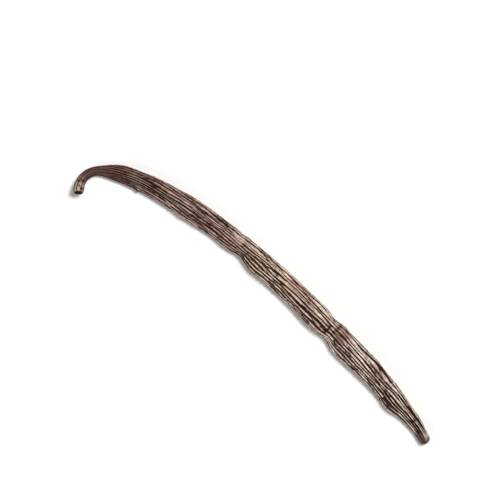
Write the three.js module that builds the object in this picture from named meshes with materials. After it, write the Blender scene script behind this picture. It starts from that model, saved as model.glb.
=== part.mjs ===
// A cured vanilla pod, lying on its flat side: one long seed capsule with a hooked stem end, a blunt
// blossom end and a skin that has dried into long wrinkles. Millimetres, +Z up, the ground at z = 0.
//
// The pod starts as a blank turned from a profile. Every point of the blank is then pressed into the
// flattened section, wrinkled, bent along the spine and set down on the ground.

import * as THREE from 'three';
import { mergeVertices } from 'three/addons/utils/BufferGeometryUtils.js';

// ---- Driving sizes ------------------------------------------------------------------------------------

const POD_LENGTH = 161; // along the spine, seen from above

// The smooth pod before it wrinkled: half its width and half its thickness, by distance from the stem scar
const GIRTH = [
  { at: 0, halfWidth: 1.85, halfThickness: 1.65 },
  { at: 1.6, halfWidth: 1.9, halfThickness: 1.75 },
  { at: 4.5, halfWidth: 1.7, halfThickness: 1.6 },
  { at: 11, halfWidth: 1.65, halfThickness: 1.55 },
  { at: 18, halfWidth: 2.9, halfThickness: 2.1 },
  { at: 26, halfWidth: 3.3, halfThickness: 2.3 },
  { at: 48, halfWidth: 3.9, halfThickness: 2.6 },
  { at: 80, halfWidth: 4.15, halfThickness: 2.8 },
  { at: 104, halfWidth: 4.3, halfThickness: 3.0 },
  { at: 132, halfWidth: 4.1, halfThickness: 2.85 },
  { at: 142, halfWidth: 3.75, halfThickness: 2.55 },
  { at: 149, halfWidth: 2.8, halfThickness: 2.15 },
  { at: 155, halfWidth: 2.25, halfThickness: 1.85 },
  { at: 161, halfWidth: 1.75, halfThickness: 1.5 },
];

// The spine's heading, seen from above: a hook behind the stem, a shoulder that eases out of it, a long
// bow over the whole pod and a last turn at the tip. Degrees, anticlockwise from +X.
const STEM_HEADING = 127;
const HOOK = { turn: -69, length: 14 };
const SHOULDER = { turn: -56, fade: 19 };
const BOW_TURN = -18;
const TIP_BEND = { turn: -10, length: 12 };

// How far the two ends curl up from the ground
const STEM_LIFT = { height: 3.8, length: 20 };
const TIP_LIFT = { height: 0.8, length: 16 };
const FLAT_SPOT = 0.15; // how much of the belly is pressed flat where the pod lies

// Wrinkles
const GROOVES = 20; // round the whole pod
const GROOVE_DEPTH = 0.66; // of a groove of full strength
const GROOVE_EDGES = [0.32, 0.7]; // where the crest between two grooves starts and ends, in groove spacings
const GROOVE_UNEVENNESS = 0.3; // how much the spacing of the grooves varies, as a share of it
const NECK = { from: 10, to: 22, share: 0.32 }; // the skin is tighter over the hook and its grooves shallower
const TIP = { from: 138, to: 156, share: 0.9 }; // and they are a little shallower toward the tip
const TWIST = { turn: 0.6, from: 12, to: 58 }; // radians that the skin is twisted behind the neck

// The strength of a groove on the body, where 1 is the full depth. It starts from a base that differs from
// groove to groove, gains something toward the tip, and has a slow and a quick wave along the pod.
const STRENGTH = {
  base: { seed: 900, least: 0.65, spread: 0.5 },
  tipGain: { from: 120, to: 140, gain: 0.35 },
  waves: [
    { seed: 200, height: 0.4, length: 55 },
    { seed: 600, height: 0.25, length: 11 },
  ],
  least: 0.35,
  most: 1.2,
};

// Every other groove runs out where the pod's mean radius is small, and is weaker on the side where the
// crests are broad
const EVERY_OTHER = { goneBelow: 1.6, fullAbove: 2.6 };
const BROAD_SIDE = { around: 50, loss: 0.5, from: 30, to: 70 };

// How much one crest stands over the next, behind the hook, in waves so high and so long
const CREST_SWELL = { height: 0.16, from: 8, to: 28 };
const CREST_WAVES = [
  { seed: 300, height: 1, length: 42, octaves: 2 },
  { seed: 1100, height: 0.4, length: 14, octaves: 2 },
];

// The strength of each groove on the knob at the stem end and near the tip, where only some of them go on
const KNOB = {
  from: 4,
  to: 8,
  strengths: [0.2, 0, 0.6, 0, 1.1, 0, 0, 0.6, 0.2, 0.6, 0, 0.8, 0, 0.7, 0.5, 0, 0.8, 0, 0.6, 0],
};
const NEAR_TIP = {
  from: 138,
  to: 146,
  strengths: [1.2, 1.3, 0.2, 1.2, 1.2, 1.2, 0.1, 1.2, 0.1, 1.2, 0.1, 1, 0.1, 1, 0.1, 1, 0.1, 1, 0.1, 0.15],
};
const GROOVE_ENDING = 2.2; // the grooves run out over so much of the tip

// Crests that have sunk between their neighbours, by the groove before them, and the length over which
// they sink and rise
const SINKING = 3;
const SUNKEN_CRESTS = [
  { crest: 0, from: 147.5, to: 155.5, share: 0.8 },
  { crest: 5, from: 139, to: 145, share: 0.5 },
];

// Radians that the grooves stray to either side together, in waves so many round the pod and so long
const GROOVE_FLOW = { stray: 0.13, from: 4, to: 18 };
const FLOW_WAVES = [
  { turns: 2, length: 95 },
  { turns: -3, length: 61 },
  { turns: 4, length: 40 },
  { turns: -5, length: 27 },
  { turns: 7, length: 19 },
  { turns: -9, length: 14 },
  { turns: 3, length: 15.5 },
  { turns: 11, length: 9 },
];

// Places where the pod was kinked or pressed in, or swelled where the depth is below 0. Degrees go round
// the section: 0 is the outer side of the bow, 90 the back, 180 the inner side and 270 the belly.
const DENTS = [
  { at: 3.4, around: 90, depth: 0.12, reach: 1.2 },
  { at: 20, around: 180, depth: 0.2, reach: 4 },
  { at: 25, around: 0, depth: -0.15, reach: 5 },
  { at: 37, around: 5, depth: 0.15, reach: 6 },
  { at: 46, around: 185, depth: -0.35, reach: 5 },
  { at: 61, around: 180, depth: 0.42, reach: 7 },
  { at: 65, around: 70, depth: 0.4, reach: 1.7 },
  { at: 69.2, around: 180, depth: 1.0, reach: 3 },
  { at: 76, around: 90, depth: -0.2, reach: 5 },
  { at: 76.5, around: 180, depth: -0.3, reach: 3 },
  { at: 91, around: 180, depth: 0.25, reach: 6 },
  { at: 101, around: 180, depth: -0.5, reach: 5 },
  { at: 102, around: 0, depth: -0.2, reach: 4 },
  { at: 108, around: 10, depth: 0.5, reach: 2 },
  { at: 109.5, around: 182, depth: 0.42, reach: 3 },
  { at: 111, around: 120, depth: 0.45, reach: 2.2 },
  { at: 112.6, around: 0, depth: -0.3, reach: 1.6 },
  { at: 117, around: 175, depth: -0.3, reach: 4 },
  { at: 129, around: 5, depth: -0.35, reach: 6 },
  { at: 133, around: 180, depth: 0.35, reach: 5 },
  { at: 142.5, around: 180, depth: -0.75, reach: 3 },
  { at: 152, around: 0, depth: -0.4, reach: 4.5 },
  { at: 156, around: 180, depth: 0.2, reach: 4 },
];

// Patches where the skin stayed tight, and the share of their depth that the grooves lose there
const TIGHT_PATCHES = [
  { at: 65.5, around: 60, reach: 2.8, loss: 0.8 },
  { at: 104, around: 40, reach: 8, loss: 0.2 },
  { at: 124, around: 55, reach: 9, loss: 0.2 },
  { at: 159.3, around: 58, reach: 2.6, loss: 1 },
];

// Ends
const SCAR_DISH = { depth: 0.55, rim: 0.82, lip: 0.35 }; // the stem scar is a shallow dish inside a rim
const TIP_ROUNDING = { length: 1.7, rings: 5 };

// Fineness of the skin: how far apart its rings are
const RING_STEP = { hook: 1.15, body: 1.85 };

// ---- Helpers ------------------------------------------------------------------------------------------

const FULL_TURN = 2 * Math.PI;
const { lerp, clamp, degToRad } = THREE.MathUtils;

// 0 to 1 along an S as x goes from 0 to 1
function ease(x) {
  return THREE.MathUtils.smoothstep(x, 0, 1);
}

// 0 before one distance along the pod, 1 after another and an S between them
function easeBetween(along, { from, to }) {
  return ease((along - from) / (to - from));
}

// A bump of height 1 that fades out over its reach to either side
function bump(distance, reach) {
  return Math.exp(-((distance / reach) ** 2));
}

// A number from 0 to 1 that looks random but is always the same for the same seed
function scatter(seed) {
  const x = Math.sin(seed * 12.9898 + 4.1414) * 43758.5453;
  return x - Math.floor(x);
}

// A slow uneven wave between -1 and 1 along the pod, different for each seed
function wave(seed, along, wavelength, octaves = 3) {
  let sum = 0;
  let most = 0;
  for (let octave = 0; octave < octaves; octave++) {
    const share = 1 / (octave + 1);
    const cycles = (along / wavelength) * 1.7 ** octave;
    sum += share * Math.sin(FULL_TURN * (cycles + scatter(seed * 7 + octave)));
    most += share;
  }
  return sum / most;
}

// Several such waves together, for the groove or crest of that number round the pod
function wavesAt(waves, around, along) {
  return waves.reduce((sum, { seed, height, length, octaves }) => {
    return sum + height * wave(seed + around, along, length, octaves);
  }, 0);
}

// ---- Section ------------------------------------------------------------------------------------------

const girths = new THREE.CubicInterpolant(
  GIRTH.map((row) => row.at),
  GIRTH.flatMap((row) => [row.halfWidth, row.halfThickness]),
  2,
);

function girthAt(along) {
  const [halfWidth, halfThickness] = girths.evaluate(along);
  return { halfWidth, halfThickness };
}

// 1 on the side of the section that is named in degrees, and 0 from a quarter turn away
function facing(angle, around) {
  return Math.max(0, Math.cos(angle - degToRad(around)));
}

function dentAt(along, angle) {
  return DENTS.reduce((sum, { at, around, depth, reach }) => {
    return sum + depth * facing(angle, around) * bump(along - at, reach);
  }, 0);
}

// A point of the dented section, seen along the spine: x to the outer side of the bow and y to the back
function sectionPoint(along, angle) {
  const { halfWidth, halfThickness } = girthAt(along);
  const point = new THREE.Vector2(halfWidth * Math.cos(angle), halfThickness * Math.sin(angle));
  return point.setLength(point.length() - dentAt(along, angle));
}

// ---- Wrinkles -----------------------------------------------------------------------------------------

function twistAt(along) {
  return TWIST.turn * easeBetween(along, TWIST);
}

// How far the skin round a place has strayed, before GROOVE_FLOW scales it
function flowAt(place, along) {
  return FLOW_WAVES.reduce((sum, { turns, length }) => {
    const phase = FULL_TURN * (along / length + scatter(length));
    return sum + Math.sin(turns * place + phase) / Math.abs(turns);
  }, 0);
}

// The angle round the section at which a groove lies. It strays as it runs along the pod, and the
// grooves are spread by the skin's length and not by the angle, so that the flat sides get their share.
function grooveAngle(groove, along) {
  const uneven = GROOVE_UNEVENNESS * (scatter(groove % GROOVES) - 0.5);
  const place = FULL_TURN * ((groove + uneven) / GROOVES);
  const flow = GROOVE_FLOW.stray * flowAt(place, along) * easeBetween(along, GROOVE_FLOW);
  const strayed = place + flow + twistAt(along);
  const { halfWidth, halfThickness } = girthAt(along);
  const flatness = (halfWidth - halfThickness) / (halfWidth + halfThickness);
  return strayed + (flatness / 2) * Math.sin(2 * strayed);
}

// What a groove loses in the tight patches, as a share of its depth
function tightnessAt(along, angle) {
  return TIGHT_PATCHES.reduce((most, { at, around, reach, loss }) => {
    return Math.max(most, loss * facing(angle, around) ** 3 * bump(along - at, reach));
  }, 0);
}

// A groove's strength on the body. It fades in and out along the pod, so that crests part and join.
function bodyStrength(groove, along) {
  const around = groove % GROOVES;
  const { base, tipGain, waves, least, most } = STRENGTH;
  const own = base.least + base.spread * scatter(base.seed + around);
  const gained = own + tipGain.gain * easeBetween(along, tipGain);
  const strength = clamp(gained + wavesAt(waves, around, along), least, most);
  if (around % 2 === 0) return strength;
  const { halfWidth, halfThickness } = girthAt(along);
  const { goneBelow, fullAbove } = EVERY_OTHER;
  const room = ease(((halfWidth + halfThickness) / 2 - goneBelow) / (fullAbove - goneBelow));
  const side = facing(grooveAngle(groove, along), BROAD_SIDE.around);
  const broad = BROAD_SIDE.loss * side * easeBetween(along, BROAD_SIDE);
  return strength * room * (1 - broad);
}

// A groove's share of the full depth, on the knob, the body or near the tip
function grooveStrength(groove, along) {
  const around = groove % GROOVES;
  const knob = 1 - easeBetween(along, KNOB);
  const onBody = lerp(bodyStrength(groove, along), KNOB.strengths[around], knob);
  const strength = lerp(onBody, NEAR_TIP.strengths[around], easeBetween(along, NEAR_TIP));
  return strength * (1 - tightnessAt(along, grooveAngle(groove, along)));
}

// How deep a groove of full strength is cut. It is shallower over the hook and toward the tip, and ends
// before the tip.
function fullDepth(along) {
  const neck = lerp(NECK.share, 1, easeBetween(along, NECK));
  const tip = lerp(1, TIP.share, easeBetween(along, TIP));
  const ending = 1 - ease((along - POD_LENGTH + GROOVE_ENDING) / GROOVE_ENDING);
  return GROOVE_DEPTH * neck * tip * ending;
}

// How much of its full depth a crest has sunk
function sunkenShare(groove, along) {
  const sunken = SUNKEN_CRESTS.filter(({ crest }) => crest === groove % GROOVES);
  return sunken.reduce((sum, { from, to, share }) => {
    const sinking = ease((along - from) / SINKING + 0.5);
    const rising = ease((to - along) / SINKING + 0.5);
    return sum + share * sinking * rising;
  }, 0);
}

// How far a crest stands over its neighbours, or is sunken between them
function crestHeight(groove, along) {
  const proud = wavesAt(CREST_WAVES, groove % GROOVES, along);
  const swell = CREST_SWELL.height * easeBetween(along, CREST_SWELL) * proud;
  return swell - sunkenShare(groove, along) * fullDepth(along);
}

// The columns of the skin: one in the bottom of each groove and one on each edge of the crest beside it
const COLUMNS_PER_GROOVE = 1 + GROOVE_EDGES.length;
const COLUMNS = GROOVES * COLUMNS_PER_GROOVE;

// The angle of a column, and how far the skin stands out there
function columnAt(column, along) {
  const groove = Math.floor(column / COLUMNS_PER_GROOVE);
  const part = column % COLUMNS_PER_GROOVE;
  const angle = grooveAngle(groove, along);
  if (part === 0) return { angle, out: -fullDepth(along) * grooveStrength(groove, along) };
  const next = grooveAngle(groove + 1, along);
  return { angle: lerp(angle, next, GROOVE_EDGES[part - 1]), out: crestHeight(groove, along) };
}

// ---- Spine --------------------------------------------------------------------------------------------

// The pod's middle line. A distance along it is measured as seen from above.
class Spine extends THREE.Curve {
  static STEPS = 1600;

  constructor() {
    super();
    const step = POD_LENGTH / Spine.STEPS;
    this.places = [new THREE.Vector2()];
    for (let n = 0; n < Spine.STEPS; n++) {
      const heading = this.headingAt((n + 0.5) * step);
      const stride = new THREE.Vector2(step * Math.cos(heading), step * Math.sin(heading));
      this.places.push(stride.add(this.places[n]));
    }
  }

  headingAt(along) {
    const hook = HOOK.turn * ease(along / HOOK.length);
    const shoulder = SHOULDER.turn * (1 - Math.exp(-along / SHOULDER.fade));
    const bow = BOW_TURN * (along / POD_LENGTH);
    const tip = TIP_BEND.turn * ease(1 - (POD_LENGTH - along) / TIP_BEND.length);
    return degToRad(STEM_HEADING + hook + shoulder + bow + tip);
  }

  heightAt(along) {
    const nearStem = Math.max(0, 1 - along / STEM_LIFT.length);
    const nearTip = Math.max(0, 1 - (POD_LENGTH - along) / TIP_LIFT.length);
    const lift = STEM_LIFT.height * nearStem ** 3 + TIP_LIFT.height * nearTip ** 2;
    return girthAt(along).halfThickness - FLAT_SPOT + lift;
  }

  getPoint(t, target = new THREE.Vector3()) {
    const place = clamp(t, 0, 1) * Spine.STEPS;
    const before = Math.min(Math.floor(place), Spine.STEPS - 1);
    const { x, y } = this.places[before].clone().lerp(this.places[before + 1], place - before);
    return target.set(x, y, this.heightAt(t * POD_LENGTH));
  }

  // Carries a section into place: its x to the outer side of the bow, its y up and its z along the spine
  sectionMatrix(along) {
    const t = along / POD_LENGTH;
    const ahead = this.getTangent(t);
    const outward = new THREE.Vector3(-ahead.y, ahead.x, 0).normalize();
    const up = new THREE.Vector3().crossVectors(ahead, outward);
    return new THREE.Matrix4().makeBasis(outward, up, ahead).setPosition(this.getPoint(t));
  }
}

// ---- Pod ----------------------------------------------------------------------------------------------

// Distances of the body's rings, which are closer together round the hook
function ringDistances(from, to) {
  const distances = [from];
  for (let along = from; along < to; ) {
    along += lerp(RING_STEP.hook, RING_STEP.body, ease((along - HOOK.length / 2) / HOOK.length));
    distances.push(along);
  }
  const fit = (to - from) / (distances.at(-1) - from);
  return distances.map((along) => from + fit * (along - from));
}

// The blank's profile, from the middle of the stem scar to the middle of the blossom end. A point's x is
// the share of the full section that it reaches, and its y is the distance along the spine.
function blankProfile() {
  const { depth, rim, lip } = SCAR_DISH;
  const scar = [
    new THREE.Vector2(0, depth),
    new THREE.Vector2(rim / 2, 0.8 * depth),
    new THREE.Vector2(rim, 0),
    new THREE.Vector2(1, lip),
  ];
  const bodyEnd = POD_LENGTH - TIP_ROUNDING.length;
  const body = ringDistances(2 * lip, bodyEnd).map((along) => new THREE.Vector2(1, along));
  const tip = [];
  for (let n = 1; n < TIP_ROUNDING.rings; n++) {
    const turned = (Math.PI / 2) * (n / TIP_ROUNDING.rings);
    tip.push(new THREE.Vector2(Math.cos(turned), bodyEnd + TIP_ROUNDING.length * Math.sin(turned)));
  }
  tip.push(new THREE.Vector2(0, POD_LENGTH));
  return [...scar, ...body, ...tip];
}

// Where a point of the blank comes to lie on the pod
function placeOnPod(spine, column, { x: share, y: along }) {
  const { angle, out } = columnAt(column, along);
  const skin = sectionPoint(along, angle);
  skin.setLength(share * (skin.length() + out));
  const place = new THREE.Vector3(skin.x, skin.y, 0).applyMatrix4(spine.sectionMatrix(along));
  place.z = Math.max(0, place.z);
  return place;
}

function podGeometry() {
  const spine = new Spine();
  const profile = blankProfile();
  const blank = new THREE.LatheGeometry(profile, COLUMNS);
  const position = blank.getAttribute('position');
  for (let n = 0; n < position.count; n++) {
    const column = Math.floor(n / profile.length) % COLUMNS;
    const { x, y, z } = placeOnPod(spine, column, profile[n % profile.length]);
    position.setXYZ(n, x, y, z);
  }
  blank.deleteAttribute('normal');
  blank.deleteAttribute('uv');
  const skin = mergeVertices(blank);
  skin.computeVertexNormals();
  return skin;
}

// Dark brown skin with a dull, oily sheen
function podMaterial() {
  return new THREE.MeshStandardMaterial({ color: 0x4b372c, roughness: 0.55, metalness: 0 });
}

// The pod, moved so that the middle of its outline on the ground is at the origin
function vanillaPod() {
  const pod = new THREE.Mesh(podGeometry(), podMaterial());
  pod.name = 'vanilla_pod';
  const outline = new THREE.Box3().setFromObject(pod);
  const middle = outline.getCenter(new THREE.Vector3());
  pod.position.set(-middle.x, -middle.y, -outline.min.z);
  return pod;
}

const part = new THREE.Group();
part.add(vanillaPod());

export default part;
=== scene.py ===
# A cured vanilla pod, lying on its flat side on a pale table

import math

import bmesh
import bpy
import numpy as np
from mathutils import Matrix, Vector


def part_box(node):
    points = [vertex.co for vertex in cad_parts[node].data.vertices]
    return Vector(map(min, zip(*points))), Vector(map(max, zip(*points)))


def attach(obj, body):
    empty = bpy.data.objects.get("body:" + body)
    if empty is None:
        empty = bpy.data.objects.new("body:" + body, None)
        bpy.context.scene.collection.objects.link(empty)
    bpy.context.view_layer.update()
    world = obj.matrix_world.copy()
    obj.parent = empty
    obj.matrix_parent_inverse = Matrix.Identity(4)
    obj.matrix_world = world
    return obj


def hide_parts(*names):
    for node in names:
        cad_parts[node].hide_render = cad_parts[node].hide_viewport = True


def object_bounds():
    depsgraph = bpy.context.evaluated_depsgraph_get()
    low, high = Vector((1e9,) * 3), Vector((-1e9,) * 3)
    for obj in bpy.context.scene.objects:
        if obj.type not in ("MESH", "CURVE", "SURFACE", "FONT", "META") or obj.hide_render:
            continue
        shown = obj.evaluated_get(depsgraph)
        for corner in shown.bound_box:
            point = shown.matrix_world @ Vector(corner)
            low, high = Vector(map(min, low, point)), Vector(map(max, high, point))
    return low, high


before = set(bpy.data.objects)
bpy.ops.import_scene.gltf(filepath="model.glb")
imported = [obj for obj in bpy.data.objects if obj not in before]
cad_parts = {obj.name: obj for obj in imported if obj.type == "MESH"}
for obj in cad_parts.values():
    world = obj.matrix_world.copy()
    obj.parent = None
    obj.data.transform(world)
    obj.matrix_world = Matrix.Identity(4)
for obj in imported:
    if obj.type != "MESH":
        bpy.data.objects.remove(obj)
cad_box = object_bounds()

# ---- The pod -----------------------------------------------------------------------------------------
# The real piece is the cured seed capsule of a climbing orchid, sold whole. It was picked green, blanched
# and dried for months, so that its smooth skin shrank into long wrinkles round the seeds and turned dark
# brown. It hooks where it hung from its stalk, ends blunt where the flower was, and was kinked twice.

MM = 0.001
POD_LENGTH = 161.0  # along the spine, seen from above. Lengths of the pod are in millimetres.

# The smooth pod before it wrinkled: distance from the stem scar, half the width, half the thickness
GIRTH = np.array([
    (0, 1.85, 1.65),
    (1.6, 1.9, 1.75),
    (4.5, 1.7, 1.6),
    (11, 1.65, 1.55),
    (18, 2.9, 2.1),
    (26, 3.3, 2.3),
    (48, 3.9, 2.6),
    (80, 4.15, 2.8),
    (104, 4.3, 3.0),
    (132, 4.1, 2.85),
    (142, 3.75, 2.55),
    (149, 2.8, 2.15),
    (155, 2.25, 1.85),
    (161, 1.75, 1.5),
])

# The spine's heading, seen from above, in degrees anticlockwise from +X
STEM_HEADING = 127
HOOK_TURN, HOOK_LENGTH = -69, 14
SHOULDER_TURN, SHOULDER_FADE = -56, 19
BOW_TURN = -18
TIP_TURN, TIP_TURN_LENGTH = -10, 12

# How far the two ends curl up, and how much of the belly is pressed flat where the pod lies
STEM_LIFT, STEM_LIFT_LENGTH = 3.8, 20
TIP_LIFT, TIP_LIFT_LENGTH = 0.8, 16
FLAT_SPOT = 0.15

# Grooves of the skin, and the finer ones between them
GROOVES = 20
GROOVE_DEPTH = 0.9
GROOVE_SHARPNESS = 0.65  # below 1 the valleys are sharp and the crests round
GROOVE_UNEVENNESS = 0.3  # how much the spacing of the grooves varies, as a share of it
GROOVE_FLOW = 0.13  # radians that a groove strays with its neighbours, in waves so many round and so long:
GROOVE_FLOW_WAVES = ((2, 95), (-3, 61), (4, 40), (-5, 27), (7, 19), (-9, 14), (3, 15.5), (11, 9))
GROOVE_WRIGGLE, WRIGGLE_LENGTH = 0.02, 13  # radians that it strays on its own
FINE_DEPTH, FINE_WIDTH = 0.36, 0.13
FINE_STRAY, FINE_STRAY_LENGTH = 0.15, 8

# Things that change along the pod: a distance and the value up to it, then another and the value past it
TWIST = ((12, 0), (58, 0.6))  # radians that the skin is twisted behind the neck
STRAYING = ((4, 0), (18, 1))  # how freely the grooves stray: on the knob they run straight
NECK_DEPTH = ((10, 0.32), (22, 1))  # share of their depth that the grooves have, which is less over the hook
TIP_DEPTH = ((138, 1), (156, 0.9))
GROOVE_ENDING = ((POD_LENGTH - 2.2, 1), (POD_LENGTH, 0))
FINE_NECK_DEPTH = ((10, 0.5), (30, 1))
FINE_TIP_DEPTH = ((138, 1), (146, 0.2))

# The strength of a groove on the body, where 1 is the full depth. It starts from a base that differs from
# groove to groove, gains toward the tip, and has waves along the pod, each with a seed, height and length.
BASE_STRENGTH, STRENGTH_SPREAD = 0.65, 0.5
TIP_GAIN = ((120, 0), (140, 0.2))
STRENGTH_WAVES = ((200, 0.4, 55), (600, 0.25, 11))
LEAST_STRENGTH, MOST_STRENGTH = 0.35, 1.2
FINE_STRENGTH, FINE_WAVES = 0.5, ((400, 0.8, 17), (700, 0.4, 6))

# Every other groove is gone where the pod is thin, and shallow on the side where the crests are broad
EVERY_OTHER = ((1.6, 0), (2.6, 1))  # by the pod's mean radius
BROAD_SIDE, BROAD_LOSS = 50, ((30, 0), (70, 0.5))

# The strength of each groove on the knob at the stem end, where most of them are gone, and near the tip
KNOB_STRENGTHS = np.array([
    0.2, 0, 0.6, 0, 1.1, 0, 0, 0.6, 0.2, 0.6, 0, 0.8, 0, 0.7, 0.5, 0, 0.8, 0, 0.6, 0,
])
ON_KNOB = ((4, 1), (8, 0))
TIP_STRENGTHS = np.array([
    1.2, 1.3, 0.2, 1.2, 1.2, 1.2, 0.1, 1.2, 0.1, 1.2, 0.1, 1, 0.1, 1, 0.1, 1, 0.1, 1, 0.1, 0.15,
])
NEAR_TIP = ((138, 0), (146, 1))

# Crests that have sunk between their neighbours: after which groove, from, to, share of the grooves' depth
SUNKEN_CRESTS = ((0, 147.5, 155.5, 0.8), (5, 139, 145, 0.5))
SINKING = 3  # the length over which they sink and rise

# Relief of the crests. One stands proud of the next, in waves with a seed, height and length each.
CREST_SWELL = ((8, 0), (28, 0.16))
CREST_WAVES = ((300, 1, 42), (1100, 0.4, 14))
SWELL_ROUNDNESS = 0.4  # near 0 a whole crest swells alike, and at 1 its middle most
BEAD_HEIGHT, BEAD_LENGTH = 0.035, 2.4  # of the small lumps along every crest
LUMP_HEIGHT, WRINKLE_HEIGHT, CROSS_WRINKLE_HEIGHT = 0.06, 0.035, 0.03
HOOK_RELIEF = ((8, 0.35), (24, 1))  # share of the lumps and wrinkles over the hook
HOOK_FOLD_HEIGHT, HOOK_FOLD_LENGTH = 0.07, 1.25  # of the folds on the inner side of the hook
HOOK_FOLD_WAVER, HOOK_FOLD_WAVER_LENGTH = 2, 6  # radians that the folds run ahead or behind
HOOK_FOLDS_START, HOOK_FOLDS_END = ((2, 0), (5, 1)), ((10, 1), (15, 0))

# Seeds of the waves that have none above
STRENGTH_SEED, WRIGGLE_SEED, FINE_STRAY_SEED, BEAD_SEED, FOLD_SEED = 900, 500, 800, 900, 9

# Places where the pod was kinked, pressed in or, below 0, swelled: distance, degrees round the section (0
# is the outer side of the bow, 90 the back, 180 the inner side), depth, reach along the pod, and how
# narrow the place is round the section
DENTS = (
    (3.4, 90, 0.12, 1.2, 1),
    (20, 180, 0.2, 4, 1),
    (25, 0, -0.15, 5, 1),
    (26.7, 172, -0.65, 0.45, 30),
    (37, 5, 0.15, 6, 1),
    (46, 185, -0.35, 5, 1),
    (61, 180, 0.42, 7, 1),
    (65, 70, 0.4, 1.7, 1),
    (69.2, 180, 1.0, 3, 1),
    (76, 90, -0.2, 5, 1),
    (76.5, 180, -0.3, 3, 1),
    (91, 180, 0.25, 6, 1),
    (101, 180, -0.5, 5, 1),
    (102, 0, -0.2, 4, 1),
    (108, 10, 0.5, 2, 1),
    (109.5, 182, 0.42, 3, 1),
    (111, 120, 0.45, 2.2, 1),
    (112.6, 0, -0.3, 1.6, 1),
    (117, 175, -0.3, 4, 1),
    (129, 5, -0.35, 6, 1),
    (133, 180, 0.35, 5, 1),
    (142.5, 180, -0.75, 3, 1),
    (152, 0, -0.4, 4.5, 1),
    (156, 180, 0.2, 4, 1),
)

# Patches where the skin stayed tight and its grooves are shallower: distance, degrees round, reach, share
TIGHT_PATCHES = (
    (65.5, 60, 2.8, 0.8),
    (104, 40, 8, 0.2),
    (124, 55, 9, 0.2),
    (159.3, 58, 2.6, 1),
)

# Short creases and pits: distance, degrees round, depth, reach along the pod, narrowness round it
CREASES = (
    (0.95, 128, 0.45, 0.3, 12),
    (1.8, 100, 0.5, 0.35, 60),
    (3.5, 70, 0.4, 0.35, 12),
    (4.1, 115, 0.36, 0.35, 10),
    (61.9, 60, 0.12, 0.4, 3),
    (68.2, 70, 0.15, 0.45, 3),
    (70.6, 95, 0.12, 0.35, 6),
    (108.6, 95, 0.2, 0.45, 4),
    (110.9, 65, 0.22, 0.5, 3),
    (113.1, 110, 0.15, 0.4, 5),
    (151.8, 75, 0.25, 0.4, 8),
)

# Places with a colour of their own, and places of painted shade and painted highlight: distance, degrees
# round, reach along the pod, amount
PALE_AND_LIT_PLACES = (
    (1.8, 108, 1.2, 0.6),
    (26.7, 178, 0.7, 0.8),
    (65, 55, 2.4, 0.1),
    # Painted highlights along the inner edge
    (90, 160, 30, 0.4),
    (128, 150, 18, 0.5),
    (142.5, 150, 2, 0.9),
)
DARK_AND_SHADED_PLACES = (
    (3.8, 90, 0.7, 0.8),
    # Painted shade on the inner side of the neck
    (9, 160, 5, 1),
    (19, 165, 6, 0.9),
    (31, 60, 5, 0.4),
    (33, 150, 6, 0.3),
    (52, 120, 6, 0.5),
    (69.5, 60, 1.6, 0.4),
    (97, 110, 4, 0.5),
    (110.7, 60, 1.1, 0.8),
    (114, 80, 2.2, 0.9),
    (148, 140, 8, 0.35),
    (156.3, 95, 0.9, 0.6),
    # Painted shade on the inner side of the tip's end
    (158, 165, 2.6, 1),
)
RUSTY_PLACES = (
    (22, 10, 9, 0.2),
    (42, 0, 9, 0.4),
    (62, 150, 6, 0.4),
    (92, 80, 5, 0.4),
    (114.5, 45, 2.5, 0.8),
)

# Ends
SCAR_DEPTH, SCAR_RIM, SCAR_LIP = 0.55, 0.82, 0.35
TIP_ROUNDING = 1.7

# Fineness of the mesh
COLUMNS_PER_GROOVE = 8
RINGS = 584
SCAR_RINGS, TIP_RINGS = 3, 8


def ease(x):
    """0 to 1 along an S as x goes from 0 to 1"""
    x = np.clip(x, 0, 1)
    return x * x * (3 - 2 * x)


def changing(at, change):
    """One value up to the first place, the other from the second place on, and an S between them"""
    (start, before), (end, after) = change
    return before + (after - before) * ease((at - start) / (end - start))


def bump(distance, reach):
    """1 in the middle, and fading out over its reach to either side"""
    return np.exp(-((distance / reach) ** 2))


def scatter(seed):
    """A number from 0 to 1 that looks random but is always the same for the same seed"""
    x = np.sin(seed * 12.9898 + 4.1414) * 43758.5453
    return x - np.floor(x)


def wave(seed, along, wavelength, octaves=3):
    """A slow uneven wave between -1 and 1 along the pod, different for each seed"""
    total = most = 0
    for octave in range(octaves):
        share = 1 / (octave + 1)
        cycles = along / wavelength * 1.7**octave
        total = total + share * np.sin(2 * np.pi * (cycles + scatter(seed * 7 + octave)))
        most += share
    return total / most


def waves_at(waves, around, along, octaves=3):
    """Several such waves together, for the groove or crest of that number round the pod"""
    return sum(height * wave(seed + around, along, length, octaves) for seed, height, length in waves)


def girth(along):
    """Half the width and half the thickness, on a smooth curve through the sizes above"""
    at, sizes = GIRTH[:, 0], GIRTH[:, 1:]
    slopes = np.diff(sizes, axis=0) / np.diff(at)[:, None]
    ends = np.vstack([slopes[:1], (slopes[1:] + slopes[:-1]) / 2, slopes[-1:]])
    n = np.clip(np.searchsorted(at, along, side="right") - 1, 0, len(at) - 2)
    span = (at[n + 1] - at[n])[..., None]
    t = (along[..., None] - at[n][..., None]) / span
    return (
        (2 * t**3 - 3 * t**2 + 1) * sizes[n]
        + (t**3 - 2 * t**2 + t) * span * ends[n]
        + (3 * t**2 - 2 * t**3) * sizes[n + 1]
        + (t**3 - t**2) * span * ends[n + 1]
    )


def heading(along):
    """Which way the spine runs: the hook, the shoulder that eases out of it, the long bow and the tip"""
    hook = HOOK_TURN * ease(along / HOOK_LENGTH)
    shoulder = SHOULDER_TURN * (1 - np.exp(-along / SHOULDER_FADE))
    bow = BOW_TURN * along / POD_LENGTH
    tip = TIP_TURN * ease(1 - (POD_LENGTH - along) / TIP_TURN_LENGTH)
    return np.radians(STEM_HEADING + hook + shoulder + bow + tip)


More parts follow.
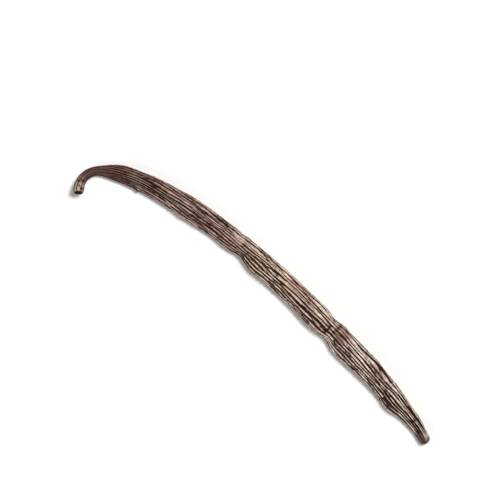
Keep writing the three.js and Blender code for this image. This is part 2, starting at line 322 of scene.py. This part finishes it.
def spine_height(along):
    """How high the spine is over the ground. The two ends curl up."""
    stem = STEM_LIFT * np.maximum(0, 1 - along / STEM_LIFT_LENGTH) ** 3
    tip = TIP_LIFT * np.maximum(0, 1 - (POD_LENGTH - along) / TIP_LIFT_LENGTH) ** 2
    return girth(along)[..., 1] - FLAT_SPOT + stem + tip


SPINE_STEPS = 1600
spine_at = np.linspace(0, POD_LENGTH, SPINE_STEPS + 1)
spine_heading = heading((spine_at[1:] + spine_at[:-1]) / 2)
spine_strides = np.stack([np.cos(spine_heading), np.sin(spine_heading)], 1) * POD_LENGTH / SPINE_STEPS
spine_xy = np.vstack([(0, 0), np.cumsum(spine_strides, axis=0)])


def spine_frame(along):
    """The spine's point, and the directions to the outer side of the bow and up, at each distance"""
    point = np.stack([
        np.interp(along, spine_at, spine_xy[:, 0]),
        np.interp(along, spine_at, spine_xy[:, 1]),
        spine_height(along),
    ], 1)
    turn = heading(along)
    rise = (spine_height(along + 0.05) - spine_height(along - 0.05)) / 0.1
    ahead = np.stack([np.cos(turn), np.sin(turn), rise], 1)
    ahead /= np.linalg.norm(ahead, axis=1)[:, None]
    outward = np.stack([-np.sin(turn), np.cos(turn), 0 * turn], 1)
    return point, outward, np.cross(ahead, outward)


def groove_angle(groove, along):
    """Where a groove lies round the section. It strays as it runs along the pod, but never over the next."""
    around = groove % GROOVES
    place = 2 * np.pi * (groove + GROOVE_UNEVENNESS * (scatter(around) - 0.5)) / GROOVES
    flow = sum(
        np.sin(turns * place + 2 * np.pi * (along / length + scatter(length))) / abs(turns)
        for turns, length in GROOVE_FLOW_WAVES
    )
    wriggle = GROOVE_WRIGGLE * wave(WRIGGLE_SEED + around, along, WRIGGLE_LENGTH, 2)
    strayed = place + (GROOVE_FLOW * flow + wriggle) * changing(along, STRAYING) + changing(along, TWIST)
    width, thickness = girth(along).T
    return strayed + (width - thickness) / (width + thickness) / 2 * np.sin(2 * strayed)


def facing(angle, degrees, narrow=1):
    """1 on the named side of the section, and 0 from a quarter turn away or sooner"""
    return np.maximum(0, np.cos(angle - math.radians(degrees))) ** narrow


def tightness(angle, along):
    """What a groove loses in the patches where the skin stayed tight, as a share of its depth"""
    losses = [
        loss * facing(angle, around, 3) * bump(along - at, reach)
        for at, around, reach, loss in TIGHT_PATCHES
    ]
    return np.max(losses, axis=0)


def body_strength(groove, along):
    """A groove's strength on the body. It fades in and out along the pod: crests part and join."""
    around = groove % GROOVES
    strength = BASE_STRENGTH + STRENGTH_SPREAD * scatter(STRENGTH_SEED + around)
    strength = strength + changing(along, TIP_GAIN) + waves_at(STRENGTH_WAVES, around, along)
    broad = changing(along, BROAD_LOSS) * facing(groove_angle(groove, along), BROAD_SIDE)
    room = changing(girth(along).mean(-1), EVERY_OTHER)
    return np.clip(strength, LEAST_STRENGTH, MOST_STRENGTH) * np.where(around % 2, room * (1 - broad), 1)


def groove_strength(groove, along):
    """A groove's share of the full depth, on the knob, the body or near the tip"""
    which = np.asarray(groove % GROOVES, int)
    knob = changing(along, ON_KNOB)
    near_tip = changing(along, NEAR_TIP)
    strength = body_strength(groove, along) * (1 - knob - near_tip)
    strength = strength + KNOB_STRENGTHS[which] * knob + TIP_STRENGTHS[which] * near_tip
    return strength * (1 - tightness(groove_angle(groove, along), along))


def fine_depth(groove, along):
    """How deep the finer groove in the middle of a crest is"""
    full = FINE_DEPTH * changing(along, FINE_NECK_DEPTH) * changing(along, FINE_TIP_DEPTH)
    strength = np.clip(FINE_STRENGTH + waves_at(FINE_WAVES, groove % GROOVES, along), 0, 1)
    return full * strength * (1 - tightness(groove_angle(groove + 0.5, along), along)) ** 2


def pressed(places, angle, along):
    """How deep the skin is pressed in by several dents or creases"""
    return sum(
        depth * facing(angle, around, narrow) * bump(along - at, reach)
        for at, around, depth, reach, narrow in places
    )


def ripples(angle, along, seed, count, turns, length):
    """Small uneven ripples of the skin, from many waves that cross: about so many turns round, and so long"""
    random = np.random.default_rng(seed)
    total = np.zeros_like(along)
    for _ in range(count):
        around = round(turns * random.uniform(0.5, 1.5)) * random.choice((-1, 1))
        cycles = random.normal(0, 1) / length
        total += np.sin(around * angle + 2 * np.pi * (cycles * along + random.random()))
    return total / math.sqrt(count / 2)


# The blank is turned: an outline from the middle of the scar to the middle of the tip is spun about Z.
# In it a radius of 1 is the full section.
body_end = POD_LENGTH - TIP_ROUNDING
blank = bmesh.new()
outline = [
    blank.verts.new((share, 0, along))
    for share, along in ((0, SCAR_DEPTH), (SCAR_RIM, 0), (1, SCAR_LIP), (1, body_end))
]
scar_edge, lip_edge, body_edge = (blank.edges.new(pair) for pair in zip(outline, outline[1:]))
bmesh.ops.spin(
    blank, geom=[outline[-1]], cent=(0, 0, body_end), axis=(0, 1, 0), angle=-math.pi / 2, steps=TIP_RINGS
)
for edge, cuts in ((scar_edge, SCAR_RINGS), (lip_edge, 1), (body_edge, RINGS)):
    bmesh.ops.subdivide_edges(blank, edges=[edge], cuts=cuts)
bmesh.ops.spin(
    blank, geom=blank.verts[:] + blank.edges[:], cent=(0, 0, 0), axis=(0, 0, 1), angle=2 * math.pi,
    steps=GROOVES * COLUMNS_PER_GROOVE, use_merge=True,
)
bmesh.ops.remove_doubles(blank, verts=blank.verts, dist=0.0005)
bmesh.ops.recalc_face_normals(blank, faces=blank.faces)
skin_mesh = bpy.data.meshes.new("pod_skin")
blank.to_mesh(skin_mesh)
blank.free()

# Every point of the blank knows its share of the section, its groove, its place between that groove and
# the next, and its distance along the pod
turned = np.zeros(len(skin_mesh.vertices) * 3, np.float32)
skin_mesh.vertices.foreach_get("co", turned)
turned = turned.reshape(-1, 3).astype(float)
share = np.minimum(1, np.hypot(turned[:, 0], turned[:, 1]))
along = np.where(turned[:, 2] > body_end, body_end + (turned[:, 2] - body_end) * TIP_ROUNDING, turned[:, 2])
place = np.arctan2(turned[:, 1], turned[:, 0]) / (2 * np.pi) % 1 * GROOVES
groove = np.floor(place)
between = place - groove

angle = (1 - between) * groove_angle(groove, along) + between * groove_angle(groove + 1, along)
arch = np.sin(np.pi * between)
valley = 1 - arch**GROOVE_SHARPNESS
valley *= np.where(between < 0.5, groove_strength(groove, along), groove_strength(groove + 1, along))
for crest, start, end, depth in SUNKEN_CRESTS:
    sunken = ease((along - start) / SINKING + 0.5) * ease((end - along) / SINKING + 0.5)
    valley = np.maximum(valley, depth * sunken * (groove % GROOVES == crest))
valley *= changing(along, GROOVE_ENDING)
cut = GROOVE_DEPTH * changing(along, NECK_DEPTH) * changing(along, TIP_DEPTH) * valley
stray = FINE_STRAY * wave(FINE_STRAY_SEED + groove % GROOVES, along, FINE_STRAY_LENGTH)
fine = fine_depth(groove, along) * bump(between - 0.5 - stray, FINE_WIDTH)
beads = BEAD_HEIGHT * wave(BEAD_SEED + groove % GROOVES, along, BEAD_LENGTH) * arch
proud = waves_at(CREST_WAVES, groove % GROOVES, along, 2) * arch**SWELL_ROUNDNESS
swell = changing(along, CREST_SWELL) * proud
hook_relief = changing(along, HOOK_RELIEF)
lumps = LUMP_HEIGHT * ripples(angle, along, seed=1, count=14, turns=4, length=14) * hook_relief
wrinkles = WRINKLE_HEIGHT * ripples(angle, along, seed=2, count=40, turns=46, length=12) * hook_relief
cross_wrinkles = CROSS_WRINKLE_HEIGHT * ripples(angle, along, seed=3, count=40, turns=9, length=1.6)
waver = HOOK_FOLD_WAVER * wave(FOLD_SEED, along, HOOK_FOLD_WAVER_LENGTH)
hook_folds = HOOK_FOLD_HEIGHT * np.sin(2 * np.pi * along / HOOK_FOLD_LENGTH + waver)
hook_folds *= facing(angle, 180, 2) * changing(along, HOOK_FOLDS_START) * changing(along, HOOK_FOLDS_END)
creases = pressed(CREASES, angle, along)
dents = pressed(DENTS, angle, along)

width, thickness = girth(along).T
smooth = np.stack([width * np.cos(angle), thickness * np.sin(angle)], 1)
radius = np.linalg.norm(smooth, axis=1)
relief = swell + lumps + wrinkles + cross_wrinkles + beads - cut - fine - dents - creases - hook_folds
reach = share * (radius + relief) / radius

point, outward, up = spine_frame(along)
skin = point + outward * (smooth[:, 0] * reach)[:, None] + up * (smooth[:, 1] * reach)[:, None]
skin[:, 2] = np.maximum(0, skin[:, 2])

# The pod lies where the frame's solid lies
solid_low, solid_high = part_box("vanilla_pod")
middle = (skin.min(0) + skin.max(0)) / 2
shift = np.array([(solid_low.x + solid_high.x) / 2, (solid_low.y + solid_high.y) / 2, solid_low.z]) / MM
shift -= (middle[0], middle[1], 0)
skin_mesh.vertices.foreach_set("co", ((skin + shift) * MM).astype(np.float32).ravel())
skin_mesh.update()
for face in skin_mesh.polygons:
    face.use_smooth = True


def mark(name, kind, field, values):
    """Stores a value for each point of the skin, for its finish to read"""
    skin_mesh.attributes.new(name, kind, "POINT").data.foreach_set(field, values.astype(np.float32).ravel())


# The finish follows the pod as if it were straight: X and Y go round it and Z along it, in metres
straight_radius = np.sqrt(width * thickness) * share
straight = np.stack([straight_radius * np.cos(angle), straight_radius * np.sin(angle), along], 1) * MM
mark("straight", "FLOAT_VECTOR", "vector", straight)

# The grooves are painted dark: partly the skin's own darker colour there, partly painted shade. This dark
# keeps its width where the pod is thin, but it is less near the stem and more near the tip. Creases, the
# troughs of the fine wrinkles, the low crests and the scar get painted shade too.
DARK_WIDTH, STEM_DARKNESS, TIP_DARKNESS = 3.5, ((20, 0.72), (65, 1)), ((136, 1), (148, 1.4))
FINE_DARKNESS, CREASE_DARKNESS, WRINKLE_DARKNESS = 0.2, 0.5, 1.1
LOW_CREST_DARKNESS = ((-0.2, 0), (-1, 0.04))  # by how proud the crest stands
# The scar's face is painted dark, as shade
SCAR_FACE = 0.8  # the share of the section that the scar's dark face takes

dark_width = DARK_WIDTH / girth(along).mean(-1) * changing(along, TIP_DARKNESS)
dark_width *= changing(along, STEM_DARKNESS)
dark = dark_width * (valley + FINE_DARKNESS * fine / FINE_DEPTH)
dark += CREASE_DARKNESS * creases - WRINKLE_DARKNESS * wrinkles + changing(proud, LOW_CREST_DARKNESS)
on_scar = (share < SCAR_FACE) & (along < POD_LENGTH / 2)
mark("groove", "FLOAT", "value", np.clip(np.where(on_scar, 1, dark), 0, 1))

# The crests that stand proud are paler on the body, on top of the pale places
PALE_PROUD_CREST = ((0.3, 0), (0.8, 0.3))  # by how proud it stands
PROUD_PALING_BODY = ((50, 0), (90, 1))


def place_colour_share(places):
    """How much colour the places give to each point of the skin: their own, painted shade and painted
    highlight
    """
    return sum(
        amount * facing(angle, around, 2) * bump(along - at, reach)
        for at, around, reach, amount in places
    )


proud_paling = changing(proud, PALE_PROUD_CREST) * changing(along, PROUD_PALING_BODY)
pale = np.maximum(place_colour_share(PALE_AND_LIT_PLACES), proud_paling)
all_stains_and_painted_light = np.stack([pale, place_colour_share(DARK_AND_SHADED_PLACES), place_colour_share(RUSTY_PLACES)], 1)
mark("stains", "FLOAT_VECTOR", "vector", np.clip(all_stains_and_painted_light, 0, 1))

pod = bpy.data.objects.new("vanilla_pod_skin", skin_mesh)
bpy.context.scene.collection.objects.link(pod)


class Tone:
    """A socket of a finish. An expression on it adds the Math nodes that work it out."""

    def __init__(self, tree, socket=None):
        self.tree = tree
        self.socket = socket

    def node(self, kind, settings=None, inputs=None, output=0):
        """A node of any kind: its settings first, then the values or tones of its sockets"""
        made = self.tree.nodes.new(kind)
        for name, value in (settings or {}).items():
            if name == "stops":
                ramp = made.color_ramp.elements
                while len(ramp) < len(value):
                    ramp.new(1)
                for element, (position, tone) in zip(ramp, value):
                    element.position, element.color = position, tone
            else:
                setattr(made, name, value)
        for name, value in (inputs or {}).items():
            if isinstance(value, Tone):
                self.tree.links.new(value.socket, made.inputs[name])
            else:
                made.inputs[name].default_value = value
        return Tone(self.tree, made.outputs[output])

    def math(self, operation, first, second=0.0):
        return self.node("ShaderNodeMath", {"operation": operation}, {0: first, 1: second})

    def __add__(self, other):
        return self.math("ADD", self, other)

    def __radd__(self, other):
        return self.math("ADD", other, self)

    def __sub__(self, other):
        return self.math("SUBTRACT", self, other)

    def __rsub__(self, other):
        return self.math("SUBTRACT", other, self)

    def __mul__(self, other):
        return self.math("MULTIPLY", self, other)

    def __rmul__(self, other):
        return self.math("MULTIPLY", other, self)

    def __truediv__(self, other):
        return self.math("DIVIDE", self, other)

    def clamped(self):
        return self.node("ShaderNodeClamp", None, {"Value": self})

    def between(self, low, high):
        """0 below low, 1 above high and smooth between them"""
        settings = {"interpolation_type": "SMOOTHSTEP"}
        return self.node("ShaderNodeMapRange", settings, {"Value": self, "From Min": low, "From Max": high})

    def mix(self, first, second):
        """The first colour where this is 0 and the second where it is 1"""
        settings = {"data_type": "RGBA"}
        return self.node("ShaderNodeMix", settings, {0: self, 6: first, 7: second}, output=2)

    def scaled(self, by):
        """A vector, stretched along each axis"""
        return self.node("ShaderNodeVectorMath", {"operation": "MULTIPLY"}, {0: self, 1: by})

    def noise(self, scale, detail=2.0, roughness=0.5, seed=0.0):
        return self.node("ShaderNodeTexNoise", {"noise_dimensions": "4D"}, {
            "Vector": self, "W": seed, "Scale": scale, "Detail": detail, "Roughness": roughness,
        })


def colour(red, green, blue):
    """A colour as seen on a screen, from 0 to 255, turned into the light it reflects"""
    shares = [c / 255 for c in (red, green, blue)]
    return (*[c / 12.92 if c <= 0.04045 else ((c + 0.055) / 1.055) ** 2.4 for c in shares], 1)


LIP_TAN = colour(190, 168, 150)
KNOB_GREY = colour(140, 122, 108)
HOOK_BROWN = colour(86, 66, 63)
NECK_BROWN = colour(102, 80, 77)
STEM_BROWN = colour(178, 154, 146)
MIDDLE_TAN = colour(218, 194, 175)
TIP_TAN = colour(214, 201, 188)
CAP_TAN = colour(186, 170, 158)
# Painted shade on the rounded end of the tip, and the step into it
TIP_END_HALF_SHADE = colour(132, 115, 105)
TIP_END_SHADE = colour(58, 46, 41)
# The flanks and the bottoms of the grooves: the skin's darker colour there, with painted shade
FLANK_BROWN_AND_SHADE = colour(122, 80, 56)
GROOVE_BROWN_AND_SHADE = colour(42, 21, 13)
UMBER = colour(76, 56, 49)
RUSTY_BROWN = colour(160, 104, 76)
# For dark places, and for painted shade on the inner side
PLUM_BROWN_AND_SHADE = colour(62, 43, 41)
# For pale places, and for painted highlights on the inner edge
PALE_TAN_AND_HIGHLIGHT = colour(208, 190, 174)
ASH_GREY = colour(150, 140, 132)


def along_stop(distance, tone):
    """A stop of a ramp that runs along the pod, at a distance in millimetres"""
    return (distance / POD_LENGTH, tone)


finish = bpy.data.materials.new("cured_pod_skin")
finish.use_nodes = True
shader = finish.node_tree.nodes["Principled BSDF"]
skin_tree = Tone(finish.node_tree)

# The place on the straightened pod, how deep it is in a groove as the mask of painted shade, and how far it
# is
# along: 0 at the stem scar and 1 at the tip
on_pod = skin_tree.node("ShaderNodeAttribute", {"attribute_name": "straight"}, output="Vector")
groove_shade_mask = skin_tree.node("ShaderNodeAttribute", {"attribute_name": "groove"}, output="Fac")
distance = on_pod.node("ShaderNodeSeparateXYZ", None, {0: on_pod}, output="Z") / (POD_LENGTH * MM)

# The patterns of the skin, drawn out along the pod or, for the ticks, across it
fibres = on_pod.scaled((1, 1, 0.15)).noise(2200, 3, 0.6)
streaks = on_pod.scaled((1, 1, 0.1)).noise(1700, 3, 0.6)
blotches = on_pod.scaled((1, 1, 0.4)).noise(260, 3, 0.6)
rusty_spots = on_pod.scaled((1, 1, 0.4)).noise(200, 3, 0.6, seed=7)
grain = on_pod.scaled((1, 1, 1.6)).noise(2600, 2, 0.6)
raggedness = on_pod.scaled((1, 1, 0.35)).noise(1600, 3, 0.7, seed=3)
ticks = on_pod.scaled((0.45, 0.45, 1)).noise(1500, 2, 0.5)

# The colours lie over each other: the crests by their place on the pod, rust, grey, dark places and painted
# shade, pale places and painted highlights, ticks and streaks, then the flanks of the grooves and the grooves
# themselves, where the skin's darker colour carries painted shade and the edges are made uneven
crest_colour = distance.node("ShaderNodeValToRGB", {"stops": [
    along_stop(0.4, LIP_TAN),
    along_stop(1, KNOB_GREY),
    along_stop(3.5, KNOB_GREY),
    along_stop(6, HOOK_BROWN),
    along_stop(11, HOOK_BROWN),
    along_stop(18, NECK_BROWN),
    along_stop(40, STEM_BROWN),
    along_stop(60, STEM_BROWN),
    along_stop(78, MIDDLE_TAN),
    along_stop(110, TIP_TAN),
    along_stop(155, TIP_TAN),
    along_stop(158.2, CAP_TAN),
    # The rounded end of the tip is painted dark, as shade
    along_stop(159.3, TIP_END_HALF_SHADE),
    along_stop(160, TIP_END_SHADE),
]}, {"Fac": distance})
stains = skin_tree.node("ShaderNodeAttribute", {"attribute_name": "stains"}, output="Vector")
pale_stain_and_highlight, dark_stain_and_shade, rusty_stain = (
    (stains.node("ShaderNodeSeparateXYZ", None, {0: stains}, output=axis) * (0.5 + blotches)).clamped()
    for axis in "XYZ"
)
rust_share = 0.1 + 0.3 * distance.between(0.08, 0.22) - 0.25 * distance.between(0.4, 0.8)
rust = rusty_spots.between(0.52, 0.68) * rust_share
rusted = (rust + rusty_stain).clamped().mix(crest_colour, RUSTY_BROWN)
greyed = (blotches.between(0.5, 0.68) * 0.4).mix(rusted, ASH_GREY)
darkened_and_shaded = (dark_stain_and_shade * 0.8).mix(greyed, PLUM_BROWN_AND_SHADE)
paled_and_lit = (pale_stain_and_highlight * 0.8).mix(darkened_and_shaded, PALE_TAN_AND_HIGHLIGHT)
ticked = (ticks.between(0.42, 0.64) * 0.35).mix(paled_and_lit, UMBER)
streaked = (streaks.between(0.46, 0.62) * 0.6 * (1 - pale_stain_and_highlight)).mix(ticked, UMBER)
# Painted shade on the flanks and in the grooves, over the skin's darker colour there
ragged_groove_shade = groove_shade_mask + 0.35 * (raggedness - 0.5)
flank_shade_share = 0.15 + 0.4 * distance.between(0.12, 0.4) - 0.3 * distance.between(0.96, 0.99)
flank_shaded = (ragged_groove_shade.between(0.04, 0.15) * flank_shade_share).mix(streaked, FLANK_BROWN_AND_SHADE)
groove_shaded = ragged_groove_shade.between(0.11, 0.18).mix(flank_shaded, GROOVE_BROWN_AND_SHADE)
finish.node_tree.links.new(groove_shaded.socket, shader.inputs["Base Color"])

# The bottoms of the grooves are duller than the oily crests
dullness = (0.52 - 0.14 * fibres + 0.25 * groove_shade_mask).clamped()
finish.node_tree.links.new(dullness.socket, shader.inputs["Roughness"])
texture = fibres * 0.4 + grain * 0.3 + ticks * 0.5
roughened = skin_tree.node("ShaderNodeBump", None, {"Strength": 0.6, "Distance": 0.0003, "Height": texture})
finish.node_tree.links.new(roughened.socket, shader.inputs["Normal"])
shader.inputs["Specular IOR Level"].default_value = 0.08
pod.data.materials.append(finish)

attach(pod, "root")
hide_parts("vanilla_pod")

# ---- The table ---------------------------------------------------------------------------------------
# A plain pale matt board that the pod lies on, cut square and left bare. It is far wider than the pod, so
# that it reaches past the edges of the view on every side.

TABLE_SIZE = 4.0
TABLE_WHITE = colour(226, 225, 223)

board = bmesh.new()
bmesh.ops.create_grid(board, x_segments=1, y_segments=1, size=TABLE_SIZE / 2)
table_mesh = bpy.data.meshes.new("table")
board.to_mesh(table_mesh)
board.free()
table = bpy.data.objects.new("table", table_mesh)
bpy.context.scene.collection.objects.link(table)
table_finish = bpy.data.materials.new("pale_board")
table_finish.use_nodes = True
table_shader = table_finish.node_tree.nodes["Principled BSDF"]
table_shader.inputs["Base Color"].default_value = TABLE_WHITE
table_shader.inputs["Roughness"].default_value = 0.9
table.data.materials.append(table_finish)

# ---- Camera and light --------------------------------------------------------------------------------
# The camera looks straight down. The stem end and the tip come to lie at two given places of the view,
# which sets how it is turned, how wide it sees and where it stands.

VIEW_PIXELS = 500
STEM_PIXEL = Vector((79.2, 193.0))
TIP_PIXEL = Vector((427.2, 444.1))
LENS, SENSOR = 85.0, 36.0

ends = (np.vstack([spine_xy[0], spine_xy[-1]]) + shift[:2]) * MM
stem_end, tip_end = Vector(ends[0]), Vector(ends[1])
across_view = TIP_PIXEL - STEM_PIXEL
metres_per_pixel = (tip_end - stem_end).length / across_view.length
roll = math.atan2(across_view.y, across_view.x)
roll += math.atan2((tip_end - stem_end).y, (tip_end - stem_end).x)
view_right = Vector((math.cos(roll), math.sin(roll)))
view_down = Vector((math.sin(roll), -math.cos(roll)))
to_middle = (Vector((VIEW_PIXELS / 2, VIEW_PIXELS / 2)) - STEM_PIXEL) * metres_per_pixel
view_middle = stem_end + view_right * to_middle.x + view_down * to_middle.y
mid_height = (cad_box[0].z + cad_box[1].z) / 2
camera_height = VIEW_PIXELS * metres_per_pixel / 2 / (SENSOR / 2 / LENS) + mid_height

camera = bpy.data.objects.new("camera", bpy.data.cameras.new("camera"))
camera.data.lens, camera.data.sensor_width = LENS, SENSOR
camera.location = (view_middle.x, view_middle.y, camera_height)
camera.rotation_euler = (0, 0, roll)
bpy.context.scene.collection.objects.link(camera)
bpy.context.scene.camera = camera

KEY_LIGHT = ("key_light", view_right - view_down, 0.22, 0.5, 0.2, 4.05)
FILL_LIGHT = ("fill_light", view_down - view_right, 0.5, 0.3, 0.4, 2.2)
for name, side, out, height, size, watts in (KEY_LIGHT, FILL_LIGHT):
    lamp = bpy.data.objects.new(name, bpy.data.lights.new(name, "AREA"))
    lamp.data.size, lamp.data.energy = size, watts
    lamp.location = (*(side.normalized() * out), height)
    lamp.rotation_euler = Vector(lamp.location).to_track_quat("Z", "Y").to_euler()
    bpy.context.scene.collection.objects.link(lamp)

world = bpy.data.worlds.new("soft_room")
world.use_nodes = True
world.node_tree.nodes["Background"].inputs["Color"].default_value = (1, 1, 1, 1)
world.node_tree.nodes["Background"].inputs["Strength"].default_value = 0.07
bpy.context.scene.world = world
bpy.context.scene.view_settings.view_transform = "Standard"
